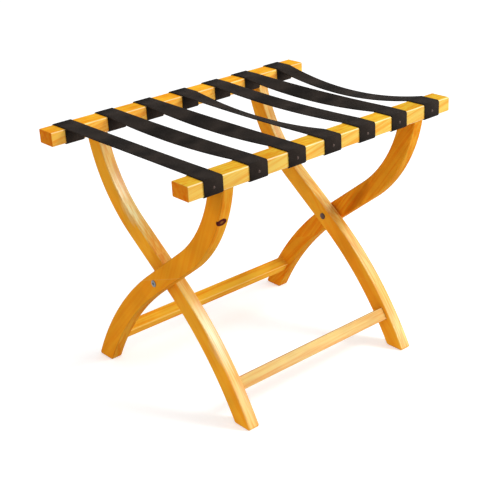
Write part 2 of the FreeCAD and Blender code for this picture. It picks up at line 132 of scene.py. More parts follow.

# How each bar was cut, in millimetres and degrees. pith is where the growth rings have their middle, with
# a shift along the grain, lean is how far the grain runs off the bar, and turn is the bar's turn about X.
# The next number is the most painted highlight on its long rounded edges, gloss is the shine of its planed
# faces, a figure under 1 widens the streaks one way across the grain, and fibre is how strongly the fibre
# shows.
BARS = {
    "near_rail": {
        "pith": (500.0, -160.0, 100.0), "lean": (12.0, -9.0), "turn": 0.0,
        "rubbed": 0.6, "gloss": 0.25, "figure": 1.0, "fibre": 1.2,
    },
    "far_rail": {
        "pith": (430.0, 240.0, 900.0), "lean": (9.0, -7.0), "turn": 0.0,
        "rubbed": 0.5, "gloss": 0.25, "figure": 1.0, "fibre": 1.2,
    },
    "near_stretcher": {
        "pith": (60.0, -118.0, 1500.0), "lean": (1.2, 1.8), "turn": STRETCHER_TURN,
        "rubbed": 0.4, "gloss": 0.5, "figure": 1.0, "fibre": 1.4,
    },
    "far_stretcher": {
        "pith": (60.0, 210.0, 1900.0), "lean": (1.0, -2.0), "turn": -STRETCHER_TURN,
        "rubbed": 0.2, "gloss": 0.08, "figure": 1.0, "fibre": 1.2,
    },
}

# How each leg was cut and what shows in its wood, in millimetres and degrees. side is 1 for the outer legs
# and -1 for the inner ones, which lean the other way. The glue line passes glue_point, given along Y and Z,
# and the leans and piths are those of the upper board and then of the lower one. side_rings is how strongly
# the rings show on the sawn sides, and glue_shown how strongly the glue does. The darker areas are stains
# in the wood; the two pale areas on the left inner leg are painted sheen.
LEGS = {
    "outer_leg_left": {
        "side": 1, "glue_point": (-30.0, 241.0), "glue_lean": 20.0, "glue_shown": 0.3,
        "leans": (24.0, 44.0), "piths": ((-285.0, -30.0, 0.0), (-280.0, 70.0, 300.0)),
        "side_rings": 0.45, "gloss": 0.04, "figure": 0.6, "fibre": 1.2,
        "knot": {
            "middle": (-223.5, -193.6, 392.8), "lean": 23.0, "turn": -8.0,
            "half_sizes": (11.0, 8.0, 8.2), "unevenness": 0.3,
        },
    },
    "outer_leg_right": {
        "side": 1, "glue_point": (70.0, 150.0), "glue_lean": 20.0, "glue_shown": 0.0,
        "leans": (37.0, 45.0), "piths": ((280.0, -10.0, 700.0), (280.0, 60.0, 900.0)),
        "side_rings": 1.0, "gloss": 0.04, "figure": 1.0, "fibre": 1.3,
        "stains_and_sheen": (
            {
                "middle": (208.9, -68.0, 268.0), "lean": 33.0, "half_sizes": (30.0, 13.0, 55.0),
                "unevenness": 1.2, "tone": "#C8760F", "share": 0.9,
            },
        ),
    },
    "inner_leg_left": {
        "side": -1, "glue_point": (20.0, 262.0), "glue_lean": 12.0, "glue_shown": 0.15,
        "leans": (32.0, 41.0), "piths": ((-290.0, 20.0, 1300.0), (-300.0, 60.0, 1700.0)),
        "side_rings": 0.45, "gloss": 0.8, "figure": 0.22, "fibre": 2.0,
        "stains_and_sheen": (
            # Painted sheen: a pale area where the lacquer catches the light.
            {
                "middle": (-196.0, 108.0, 331.0), "lean": -42.0, "half_sizes": (11.0, 16.0, 58.0),
                "unevenness": 1.0, "tone": "#FFEEB0", "share": 0.85,
            },
            # Painted sheen: a pale area where the lacquer catches the light.
            {
                "middle": (-195.0, -124.0, 133.0), "lean": -40.0, "half_sizes": (11.0, 16.0, 58.0),
                "unevenness": 1.0, "tone": "#FFE9B8", "share": 0.6,
            },
            {
                "middle": (-199.0, 22.0, 262.0), "lean": -52.0, "half_sizes": (22.0, 16.0, 38.0),
                "unevenness": 0.8, "tone": "#E59A1E", "share": 0.7,
            },
        ),
    },
    "inner_leg_right": {
        "side": -1, "glue_point": (-108.0, 121.0), "glue_lean": 4.0, "glue_shown": 0.15,
        "leans": (36.0, 38.0), "piths": ((300.0, 20.0, 2300.0), (290.0, 50.0, 2700.0)),
        "side_rings": 0.6, "gloss": 0.8, "figure": 0.22, "fibre": 2.0,
    },
}

# ---- Fittings, in millimetres ----
MOULD_GRAIN = 1.11  # coarser than the real grain, so that it shows
NYLON_CLOUD = 6.67
BEECH_FLECK = 1.43
FLECK_STRETCH = 0.15  # along the grain
FINE_RELIEF = 0.1

# ---- Studio ----
FLOOR_REACH = 12.0  # metres from the middle of the floor to its edges
SENSOR_WIDTH = 36.0  # millimetres
WHITE = (1.0, 1.0, 1.0)


def linear(colour):
    """A hex sRGB colour as linear red, green and blue."""
    parts = [int(colour[i : i + 2], 16) / 255 for i in (1, 3, 5)]
    return [c / 12.92 if c <= 0.04045 else ((c + 0.055) / 1.055) ** 2.4 for c in parts]


def rgba(colour, strength=1.0):
    """A linear colour as a shader's socket takes it, made darker or brighter by its strength."""
    return (*(c * strength for c in colour), 1.0)


def add(tree, kind, inputs=None, stops=(), **settings):
    """Adds a node. inputs gives each socket, by name or number, its value or the output linked to it.
    stops gives a ramp's positions, each with its grey level."""
    node = tree.nodes.new("ShaderNode" + kind)
    for name, value in settings.items():
        setattr(node, name, value)
    for number, (position, level) in enumerate(stops):
        if number >= len(node.color_ramp.elements):
            node.color_ramp.elements.new(position)
        node.color_ramp.elements[number].position = position
        node.color_ramp.elements[number].color = (level, level, level, 1.0)
    for socket, value in (inputs or {}).items():
        if isinstance(value, bpy.types.NodeSocket):
            tree.links.new(value, node.inputs[socket])
        else:
            node.inputs[socket].default_value = value
    return node


def new_material(name):
    """An empty material and its tree."""
    material = bpy.data.materials.new(name)
    material.use_nodes = True
    material.node_tree.nodes.clear()
    return material, material.node_tree


def give(node, material):
    """Puts the material on a CAD piece."""
    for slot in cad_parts[node].material_slots:
        slot.material = material


class WoodSettings(bpy.types.PropertyGroup):
    """Lacquered pine, piece by piece: the pale spring wood of its planed and of its sawn faces, partly the
    wood's own colour and partly painted light and shade.
    """

    near_rail: FloatVectorProperty(
        name="Near rail", description="Planed faces of the near rail", subtype="COLOR",
        default=linear("#D9B551"),
    )
    # Lighter than the near rail: partly the board's own colour, partly painted light on its shaded front.
    far_rail: FloatVectorProperty(
        name="Far rail", description="Planed faces of the far rail", subtype="COLOR",
        default=linear("#F1BB48"),
    )
    near_stretcher: FloatVectorProperty(
        name="Near stretcher", description="Planed faces of the near stretcher", subtype="COLOR",
        default=linear("#CFAC57"),
    )
    far_stretcher: FloatVectorProperty(
        name="Far stretcher", description="Planed faces of the far stretcher", subtype="COLOR",
        default=linear("#F1B839"),
    )
    # Partly painted sheen: paler for the lacquer's sheen on the inner legs' front faces.
    inner_edges: FloatVectorProperty(
        name="Inner leg edges", description="Narrow faces of the inner legs", subtype="COLOR",
        default=linear("#E4BA60"),
    )
    # Partly painted shade: darker for the shaded undersides of the outer legs.
    outer_edges: FloatVectorProperty(
        name="Outer leg edges", description="Narrow faces of the outer legs", subtype="COLOR",
        default=linear("#D4962B"),
    )
    # The deeper amber of the sawn sides is partly how sawn faces take the lacquer and partly painted shade.
    inner_sides: FloatVectorProperty(
        name="Inner leg sides", description="Broad sawn faces of the inner legs", subtype="COLOR",
        default=linear("#FBAE2D"),
    )
    outer_sides: FloatVectorProperty(
        name="Outer leg sides", description="Broad sawn faces of the outer legs", subtype="COLOR",
        default=linear("#F29E20"),
    )
    end_grain: FloatVectorProperty(
        name="End grain", description="Ends of the rails and stretchers", subtype="COLOR",
        default=linear("#E2881B"),
    )
    # Painted shade: a deeper, less blue yellow laid on the upper faces for how the light falls there.
    upper_tint: FloatVectorProperty(
        name="Upper tint", description="What the deeper yellow of upper faces leaves of the colour",
        subtype="COLOR", default=(1.05, 0.97, 0.42),
    )
    # Painted highlight: the pale colour laid on the bars' rounded long edges, where the lacquer catches the
    # light.
    rubbed_edge: FloatVectorProperty(
        name="Rubbed edge", description="Where the rounded edges have lost their colour", subtype="COLOR",
        default=linear("#FFE9B8"),
    )
    summer_wood: FloatVectorProperty(
        name="Summer wood", description="What the dark part of a growth ring leaves of the pale colour",
        subtype="COLOR", default=(0.95, 0.64, 0.32),
    )
    glue: FloatVectorProperty(
        name="Glue line", description="Glue between the two boards of a leg", subtype="COLOR",
        default=linear("#F2B25A"),
    )
    knot: FloatVectorProperty(
        name="Knot", description="Dark wood of a knot", subtype="COLOR", default=linear("#4A1A18"),
    )
    ring_width: FloatProperty(
        name="Ring width (mm)", description="Width of one growth ring", default=6.5, min=1.0,
    )
    roughness: FloatProperty(
        name="Wood roughness", description="Roughness of the wood below the lacquer", default=0.21,
        min=0.0, max=1.0,
    )


class WebbingSettings(bpy.types.PropertyGroup):
    """The straps."""

    width: FloatProperty(
        name="Width", description="Width of the webbing", default=0.038, unit="LENGTH",
    )
    thickness: FloatProperty(
        name="Thickness", description="Thickness of the webbing", default=0.0016, unit="LENGTH",
    )
    yarn: FloatVectorProperty(
        name="Yarn", description="Colour of the yarn", subtype="COLOR", default=linear("#221C18"),
    )
    yarn_pitch: FloatProperty(
        name="Yarn pitch (mm)", description="Distance between warp yarns", default=1.5, min=0.3,
    )


class FittingSettings(bpy.types.PropertyGroup):
    """Bolts, nuts, tacks, spacers and dowels."""

    zinc: FloatVectorProperty(
        name="Bolt", description="Zinc-plated steel", subtype="COLOR", default=linear("#7C8084"),
    )
    bronzed: FloatVectorProperty(
        name="Nut", description="Bronzed steel", subtype="COLOR", default=linear("#5A4742"),
    )
    blued: FloatVectorProperty(
        name="Tack", description="Blued steel", subtype="COLOR", default=linear("#463A35"),
    )
    nylon: FloatVectorProperty(
        name="Spacer", description="Natural nylon", subtype="COLOR", default=linear("#E9E3D3"),
    )
    beech: FloatVectorProperty(
        name="Dowel", description="Bare beech", subtype="COLOR", default=linear("#DDB98C"),
    )


class StudioSettings(bpy.types.PropertyGroup):
    """Camera, lamps, sky and floor."""

    azimuth: FloatProperty(
        name="Azimuth", description="Camera's turn round the bench", subtype="ANGLE",
        default=math.radians(-39.277),
    )
    elevation: FloatProperty(
        name="Elevation", description="Camera's angle above the floor", subtype="ANGLE",
        default=math.radians(24.003),
    )
    roll: FloatProperty(
        name="Roll", description="Camera's turn about its own axis", subtype="ANGLE",
        default=math.radians(-3.277),
    )
    distance: FloatProperty(
        name="Distance", description="From the camera to the bench", default=2.06165, unit="LENGTH",
    )
    aim_height: FloatProperty(
        name="Aim height", description="Height of the point aimed at", default=0.25, unit="LENGTH",
    )
    slide: FloatVectorProperty(
        name="Slide", description="Camera's shift to the right and upwards", size=2, subtype="TRANSLATION",
        default=(-0.016074, -0.024970),
    )
    lens: FloatProperty(name="Lens", description="Focal length in mm", default=81.272, min=1.0)
    sky: FloatProperty(
        name="Sky", description="Brightness of the even light from all round", default=0.75, min=0.0,
    )
    key_power: FloatProperty(
        name="Key lamp power", description="Power of the high soft lamp", default=33.0, min=0.0,
        unit="POWER",
    )
    key_size: FloatVectorProperty(
        name="Key lamp size", description="Width and height of the high soft lamp", size=2,
        default=(0.7, 1.0), unit="LENGTH",
    )
    key_place: FloatVectorProperty(
        name="Key lamp place", description="Middle of the high soft lamp", subtype="TRANSLATION",
        default=(1.3, -1.4, 1.95),
    )
    fill_power: FloatProperty(
        name="Fill lamp power", description="Power of the low soft lamp", default=14.0, min=0.0,
        unit="POWER",
    )
    fill_size: FloatVectorProperty(
        name="Fill lamp size", description="Width and height of the low soft lamp", size=2,
        default=(0.5, 0.5), unit="LENGTH",
    )
    fill_place: FloatVectorProperty(
        name="Fill lamp place", description="Middle of the low soft lamp", subtype="TRANSLATION",
        default=(1.33, -1.85, 0.75),
    )
    floor: FloatVectorProperty(
        name="Floor", description="Colour of the floor", subtype="COLOR", default=(0.8, 0.8, 0.8),
    )
    floor_lift: FloatProperty(
        name="Floor lift", description="What the camera sees on top of the light that the floor returns",
        default=0.42, min=0.0,
    )


class BenchSettings(bpy.types.PropertyGroup):
    """All settings of the bench."""

    wood: PointerProperty(type=WoodSettings)
    webbing: PointerProperty(type=WebbingSettings)
    fittings: PointerProperty(type=FittingSettings)
    studio: PointerProperty(type=StudioSettings)


# ---- Wood ----


def grain_space(tree, place, turn, pith):
    """Coordinates in millimetres, with the growth rings' centre on Z and the grain running along Z."""
    return add(
        tree,
        "Mapping",
        {
            "Vector": place,
            "Location": (-pith[0], -pith[1], pith[2]),
            "Rotation": turn,
            "Scale": (1 / MM,) * 3,
        },
    ).outputs["Vector"]


def bar_grain(tree, place, bar):
    """The grain of a bar that runs along X, where the pith leans a little from the bar. It has no glue."""
    lean = [math.radians(angle) for angle in bar["lean"]]
    return grain_space(tree, place, (0, math.pi / 2 + lean[0], lean[1]), bar["pith"]), None


def leg_grain(tree, place, leg):
    """The grain of a leg sawn from two boards, and the slanting glue line where they meet."""
    side = leg["side"]
    upper_board, lower_board = [
        grain_space(tree, place, (-side * math.radians(lean), 0, 0), pith)
        for lean, pith in zip(leg["leans"], leg["piths"])
    ]
    glue_lean = math.radians(leg["glue_lean"])
    normal = (0, side * math.sin(glue_lean), math.cos(glue_lean))
    glue_y, glue_z = leg["glue_point"]
    offset = (normal[1] * glue_y + normal[2] * glue_z) * MM
    height = add(tree, "VectorMath", {0: place, 1: normal}, operation="DOT_PRODUCT").outputs["Value"]
    above = add(tree, "Math", {0: height, 1: offset}, operation="SUBTRACT").outputs["Value"]
    upper = add(tree, "Math", {0: above, 1: 0.0}, operation="GREATER_THAN").outputs["Value"]
    grain = add(
        tree, "Mix", {SHARE: upper, PLACE_1: lower_board, PLACE_2: upper_board}, data_type="VECTOR",
    ).outputs[PLACE_OUT]
    distance = add(tree, "Math", {0: above}, operation="ABSOLUTE").outputs["Value"]
    glue = add(
        tree, "Math", {0: distance, 1: GLUE_LINE / 2 * MM}, operation="LESS_THAN",
    ).outputs["Value"]
    return grain, glue


def spot(tree, place, where):
    """How far a point is from the middle of an oval spot in the wood, where 1 is the spot's rim."""
    middle = [c * MM for c in where["middle"]]
    to_rim = [1 / size / MM for size in where["half_sizes"]]
    unevenness = where["unevenness"]
    moved = add(tree, "VectorMath", {0: place, 1: middle}, operation="SUBTRACT").outputs["Vector"]
    # After these turns the spot's third half size lies along the leg.
    leaned = add(
        tree, "Mapping", {"Vector": moved, "Rotation": (-math.radians(where["lean"]), 0, 0)},
    ).outputs["Vector"]
    turned = add(
        tree, "Mapping", {"Vector": leaned, "Rotation": (0, math.radians(where.get("turn", 0)), 0)},
    ).outputs["Vector"]
    scaled = add(tree, "VectorMath", {0: turned, 1: to_rim}, operation="MULTIPLY").outputs["Vector"]
    uneven = add(
        tree, "TexNoise", {"Vector": scaled, "Scale": SPOT_BENDS, "Detail": 1.0},
    ).outputs["Color"]
    pushed = add(
        tree, "VectorMath", {0: uneven, 1: (unevenness,) * 3, 2: scaled}, operation="MULTIPLY_ADD",
    ).outputs["Vector"]
    centred = add(
        tree, "VectorMath", {0: pushed, 1: (unevenness / 2,) * 3}, operation="SUBTRACT",
    ).outputs["Vector"]
    return add(tree, "VectorMath", {0: centred}, operation="LENGTH").outputs["Value"]


def rubbed_share(tree, normal, facing, bar):
    """How much painted highlight a bar's long rounded edges get, where the normal leaves the faces."""
    level = add(
        tree, "Mapping", {"Vector": normal, "Rotation": (math.radians(bar["turn"]), 0, 0)},
    ).outputs["Vector"]
    squares = add(tree, "VectorMath", {0: level, 1: level}, operation="MULTIPLY").outputs["Vector"]
    flatness = add(
        tree, "VectorMath", {0: squares, 1: squares}, operation="DOT_PRODUCT",
    ).outputs["Value"]
    edge = add(
        tree, "MapRange", {"Value": flatness, **ROUNDED_EDGE, "To Max": bar["rubbed"]},
    ).outputs["Result"]
    along = add(
        tree, "MapRange", {"Value": facing, **BAR_END, "To Min": 1.0, "To Max": 0.0},
    ).outputs["Result"]
    return add(tree, "Math", {0: edge, 1: along}, operation="MULTIPLY").outputs["Value"]


def growth_rings(tree, grain, ring_width):
    """How dark the rings round the pith are: pale in spring, then slowly darker to a sharp autumn edge."""
    drawn_out = add(
        tree, "VectorMath", {0: grain, 1: RING_STRETCH}, operation="MULTIPLY",
    ).outputs["Vector"]
    bend = add(
        tree, "TexNoise", {"Vector": drawn_out, "Scale": 1 / RING_BEND, "Detail": 2.0},
    ).outputs["Fac"]
    flat = add(tree, "VectorMath", {0: grain, 1: (1, 1, 0)}, operation="MULTIPLY").outputs["Vector"]
    radius = add(tree, "VectorMath", {0: flat}, operation="LENGTH").outputs["Value"]
    bent = add(
        tree, "Math", {0: bend, 1: RING_PUSH, 2: radius}, operation="MULTIPLY_ADD",
    ).outputs["Value"]
    year = add(tree, "Math", {0: bent, 1: ring_width}, operation="DIVIDE").outputs["Value"]
    season = add(tree, "Math", {0: year}, operation="FRACT").outputs["Value"]
    number = add(tree, "Math", {0: year}, operation="FLOOR").outputs["Value"]
    chance = add(tree, "TexWhiteNoise", {"W": number}, noise_dimensions="1D").outputs["Value"]
    strength = add(tree, "MapRange", {"Value": chance, **RING_STRENGTHS}).outputs["Result"]
    darkness = add(tree, "ValToRGB", {"Fac": season}, stops=RING_TONES).outputs["Color"]
    return add(tree, "Math", {0: darkness, 1: strength}, operation="MULTIPLY").outputs["Value"]


def long_lines(tree, grain, piece):
    """Broad streaks and fibre along the grain: how much darker both make it, and the fibre by itself."""
    long_grain = add(
        tree, "VectorMath", {0: grain, 1: (1, piece["figure"], FIBRE_STRETCH)}, operation="MULTIPLY",
    ).outputs["Vector"]
    noise = {"Vector": long_grain, "Detail": 2.0}
    streak = add(tree, "TexNoise", {**noise, "Scale": 1 / STREAK_WIDTH}).outputs["Fac"]
    fibre = add(tree, "TexNoise", {**noise, "Scale": 1 / FIBRE_WIDTH}).outputs["Fac"]
    streaky = add(
        tree, "MapRange", {"Value": streak, **LINE_SPAN, **STREAK_TONES}, clamp=False,
    ).outputs["Result"]
    most = FIBRE_TONE * piece["fibre"]
    fibrous = add(
        tree, "MapRange", {"Value": fibre, **LINE_SPAN, "To Min": -most, "To Max": most}, clamp=False,
    ).outputs["Result"]
    return add(tree, "Math", {0: streaky, 1: fibrous}, operation="ADD").outputs["Value"], fibre


def pine(name, wood, face, side, grain_of, piece):
    """Pine under clear satin lacquer: warm, with growth rings and fine fibre, smooth and softly shiny."""
    material, tree = new_material(name)
    texture = add(tree, "TexCoord").outputs
    place = texture["Object"]
    normal = texture["Normal"]
    grain, glue = grain_of(tree, place, piece)
    ring = growth_rings(tree, grain, wood.ring_width)
    lines, fibre = long_lines(tree, grain, piece)
    dark = add(tree, "Math", {0: ring, 1: lines}, operation="ADD", use_clamp=True).outputs["Value"]

    # The faces square to X are the sawn sides of a leg or the end grain of a bar.
    parts = add(tree, "SeparateXYZ", {0: normal}).outputs
    facing = add(tree, "Math", {0: parts["X"]}, operation="ABSOLUTE").outputs["Value"]
    sawn = add(tree, "MapRange", {"Value": facing, **SAWN_FACE}).outputs["Result"]
    upper = add(tree, "MapRange", {"Value": parts["Z"], **UPPER_FACE}).outputs["Result"]
    if "side_rings" in piece:
        muted = add(
            tree, "Math", {0: dark, 1: piece["side_rings"]}, operation="MULTIPLY",
        ).outputs["Value"]
    else:
        mottle = add(
            tree, "TexNoise", {"Vector": place, "Scale": 1 / (MOTTLE_SIZE * MM), "Detail": 2.0},
        ).outputs["Fac"]
        muted = add(tree, "MapRange", {"Value": mottle, **NOISE_SPAN, **MOTTLE_TONES}).outputs["Result"]
    darkness = add(tree, "Mix", {SHARE: sawn, NUMBER_1: dark, NUMBER_2: muted}).outputs[NUMBER_OUT]

    # The pale wood of each face, whose colour per face is partly the wood's own and partly painted light and
    # shade, then the summer wood in it, then a slow change of tone.
    pale = add(
        tree, "Mix", {SHARE: sawn, COLOUR_1: rgba(face), COLOUR_2: rgba(side)}, data_type="RGBA",
    ).outputs[COLOUR_OUT]
    # Darker areas are stains in the wood; the pale areas on the left inner leg are painted sheen.
    for patch in piece.get("stains_and_sheen", ()):
        inside = add(
            tree, "MapRange", {"Value": spot(tree, place, patch), **PATCH_RIM, "To Max": patch["share"]},
        ).outputs["Result"]
        tone = rgba(linear(patch["tone"]))
        pale = add(
            tree, "Mix", {SHARE: inside, COLOUR_1: pale, COLOUR_2: tone}, data_type="RGBA",
        ).outputs[COLOUR_OUT]
    deep = add(tree, "VectorMath", {0: pale, 1: wood.summer_wood}, operation="MULTIPLY").outputs["Vector"]
    colour = add(
        tree, "Mix", {SHARE: darkness, COLOUR_1: pale, COLOUR_2: deep}, data_type="RGBA",
    ).outputs[COLOUR_OUT]
    cloud = add(
        tree, "TexNoise", {"Vector": place, "Scale": 1 / (TONE_SIZE * MM), "Detail": 2.0},
    ).outputs["Fac"]
    tone = add(tree, "MapRange", {"Value": cloud, **NOISE_SPAN, **TONE_CHANGE}).outputs["Result"]
    colour = add(tree, "VectorMath", {0: colour, "Scale": tone}, operation="SCALE").outputs["Vector"]

    # Painted shade: upper faces are a deeper yellow than the others, with less green and much less blue, for
    # how the light falls on them.
    upper_shaded = add(
        tree, "VectorMath", {0: colour, 1: wood.upper_tint}, operation="MULTIPLY",
    ).outputs["Vector"]
    layers = [(upper, upper_shaded)]
    # Painted highlight along the rounded long edges of the bars.
    if "rubbed" in piece:
        layers.append((rubbed_share(tree, normal, facing, piece), rgba(wood.rubbed_edge)))
    if glue is not None:
        faint = add(tree, "Math", {0: glue, 1: piece["glue_shown"]}, operation="MULTIPLY")
        layers.append((faint.outputs["Value"], rgba(wood.glue)))
    if "knot" in piece:
        ringed = add(tree, "ValToRGB", {"Fac": spot(tree, place, piece["knot"])}, stops=KNOT_TONES)
        layers.append((ringed.outputs["Color"], rgba(wood.knot)))
    for share, layer in layers:
        colour = add(
            tree, "Mix", {SHARE: share, COLOUR_1: colour, COLOUR_2: layer}, data_type="RGBA",
        ).outputs[COLOUR_OUT]

    rough = add(
        tree, "MapRange",
        {"Value": fibre, **NOISE_SPAN, "To Min": wood.roughness - 0.05, "To Max": wood.roughness + 0.1},
    ).outputs["Result"]
    dull = add(tree, "Math", {0: sawn, 1: upper}, operation="ADD", use_clamp=True).outputs["Value"]
    gloss = add(
        tree, "MapRange", {"Value": dull, "To Min": piece["gloss"], "To Max": DULL_GLOSS},
    ).outputs["Result"]
    relief = add(
        tree, "Math", {0: ring, 1: RING_RELIEF, 2: fibre}, operation="MULTIPLY_ADD",
    ).outputs["Value"]
    bump = add(
        tree, "Bump", {"Height": relief, "Strength": 0.25, "Distance": WOOD_RELIEF * MM},
    ).outputs["Normal"]
    # Only the lacquer shines, so the wood below it has no specular part of its own.
    shader = add(
        tree, "BsdfPrincipled",
        {
            "Base Color": colour, "Roughness": rough, "Normal": bump, "Specular IOR Level": 0.0,
            "Coat Weight": gloss, "Coat Roughness": COAT_ROUGHNESS,
        },
    )
    add(tree, "OutputMaterial", {"Surface": shader.outputs["BSDF"]})
    return material


def finish_bars(wood, nodes):
    """Gives each bar its own cut of lacquered pine."""
    for node in nodes:
        name = node + " lacquered pine"
        give(node, pine(name, wood, getattr(wood, node), wood.end_grain, bar_grain, BARS[node]))


class BENCH_OT_rails(bpy.types.Operator):
    """Finish the two rails"""

    bl_idname = "bench.rails"
    bl_label = "Rails"

    def execute(self, context):
        finish_bars(context.scene.bench.wood, ("near_rail", "far_rail"))
        return {"FINISHED"}


class BENCH_OT_stretchers(bpy.types.Operator):
    """Finish the two stretchers"""

    bl_idname = "bench.stretchers"
    bl_label = "Stretchers"

    def execute(self, context):
        finish_bars(context.scene.bench.wood, ("near_stretcher", "far_stretcher"))
        return {"FINISHED"}


class BENCH_OT_legs(bpy.types.Operator):
    """Finish the four curved legs"""

    bl_idname = "bench.legs"
    bl_label = "Legs"

    def execute(self, context):
        wood = context.scene.bench.wood
        for node, leg in LEGS.items():
            outer = node.startswith("outer")
            edges = wood.outer_edges if outer else wood.inner_edges
            sides = wood.outer_sides if outer else wood.inner_sides
            give(node, pine(node + " lacquered pine", wood, edges, sides, leg_grain, leg))
        return {"FINISHED"}


# ---- Straps ----


def corner_arc(middle, radius, first, last):
    """Points on a corner's arc, given in degrees from the first angle to the last."""
    points = []
    for step in range(CORNER_STEPS + 1):
        angle = math.radians(first + (last - first) * step / CORNER_STEPS)
        points.append((middle[0] + radius * math.cos(angle), middle[1] + radius * math.sin(angle)))
    return points


def straight(first, last, steps):
    """Points between two others, without them."""
    return [
        (first[0] + (last[0] - first[0]) * i / steps, first[1] + (last[1] - first[1]) * i / steps)
        for i in range(1, steps)
    ]


def wrap_path(thickness):
    """The middle of the webbing round the near rail, from its tucked end to the start of the span.
    The first number is the distance from the rail's centre line towards the other rail, the second is up."""
    radius = RAIL_EDGE_RADIUS + STRAP_GAP + thickness / 2
    corner_x = RAIL_WIDTH / 2 - RAIL_EDGE_RADIUS
    corner_z = RAIL_HEIGHT / 2 - RAIL_EDGE_RADIUS
    arcs = (
        corner_arc((corner_x, corner_z), radius, TUCKED_END_ANGLE, 0),
        corner_arc((corner_x, -corner_z), radius, 0, -90),
        corner_arc((-corner_x, -corner_z), radius, -90, -180),
        corner_arc((-corner_x, corner_z), radius, 180, 90),
    )
    path = list(arcs[0])
    for arc in arcs[1:]:
        path += straight(path[-1], arc[0], FACE_STEPS) + arc
    path += straight(path[-1], (corner_x, corner_z + radius), FACE_STEPS * 2)
    return path


def strap_stations(webbing, strap):
    """For each place along a strap: its middle, its half width and the heights added at its two edges."""
    near_x, far_x, left_sag, right_sag, drawn_in = strap
    wrap = wrap_path(webbing.thickness / MM)
    rail_y = RAIL_SPACING / 2
    rail_z = RAIL_TOP - RAIL_HEIGHT / 2
    half = webbing.width / MM / 2
    stations = [(near_x, -rail_y + u, rail_z + z, half, 0.0, 0.0) for u, z in wrap]
    span_end = rail_y - (RAIL_WIDTH / 2 - RAIL_EDGE_RADIUS)
    top = RAIL_TOP + STRAP_GAP + webbing.thickness / MM / 2
    for step in range(SPAN_STEPS + 1):
        t = step / SPAN_STEPS
        hang = 4 * t * (1 - t)  # a parabola: 0 at both rails and 1 at mid span
        stations.append(
            (
                near_x + (far_x - near_x) * t,
                -span_end + 2 * span_end * t,
                top,
                half - drawn_in / 2 * hang,
                -left_sag * hang,
                -right_sag * hang,
            )
        )
    stations += [(far_x, rail_y - u, rail_z + z, half, 0.0, 0.0) for u, z in reversed(wrap)]
    return stations


def webbing_section(half, thickness):
    """The outline of the webbing, square to its length: flat faces and rounded selvedges.
    Each point is its place across, from -half to half, and its height above the middle."""
    round_off = thickness / 2
    flat = half - round_off
    top = [(-flat + 2 * flat * i / (TOP_COLUMNS - 1), round_off) for i in range(TOP_COLUMNS)]
    edge = []
    for step in range(1, SELVEDGE_STEPS + 1):
        angle = math.pi / 2 - math.pi * step / (SELVEDGE_STEPS + 1)
        edge.append((flat + round_off * math.cos(angle), round_off * math.sin(angle)))
    half_ring = top + edge
    return half_ring + [(-across, -up) for across, up in half_ring]


def make_strap(number, webbing, strap):
    """One strap as a single closed mesh, with its run and its width in millimetres as a UV map."""
    stations = strap_stations(webbing, strap)
    thickness = webbing.thickness / MM
    middles = [Vector((x, y, z + (left + right) / 2)) for x, y, z, _, left, right in stations]
    runs = [0.0]
    for before, after in zip(middles, middles[1:]):
        runs.append(runs[-1] + (after - before).length)
    points, places = [], []
    for i, (x, y, z, half, left, right) in enumerate(stations):
        ahead = middles[min(i + 1, len(middles) - 1)] - middles[max(i - 1, 0)]
        outwards = Vector((0, -ahead.z, ahead.y)).normalized()
        section = webbing_section(half, thickness)
        for across, up in section:
            share = (across + half) / (2 * half)
            point = Vector((x + across, y, z + left + (right - left) * share)) + outwards * up
            points.append(point * MM)
            places.append((across, runs[i]))
    ring = len(section)
    faces = [tuple(reversed(range(ring)))]
    for i in range(len(stations) - 1):
        for j in range(ring):
            a, b = i * ring + j, i * ring + (j + 1) % ring
            faces.append((a, b, b + ring, a + ring))
    faces.append(tuple(range((len(stations) - 1) * ring, len(stations) * ring)))
    mesh = bpy.data.meshes.new("strap_webbing_" + str(number))
    mesh.from_pydata(points, [], faces)
    weave = mesh.uv_layers.new(name="weave")
    for loop in mesh.loops:
        weave.data[loop.index].uv = places[loop.vertex_index]
    mesh.shade_smooth()
    piece = bpy.data.objects.new("webbing_strap_" + str(number), mesh)
    bpy.context.scene.collection.objects.link(piece)
    return piece, runs[-1] * MM


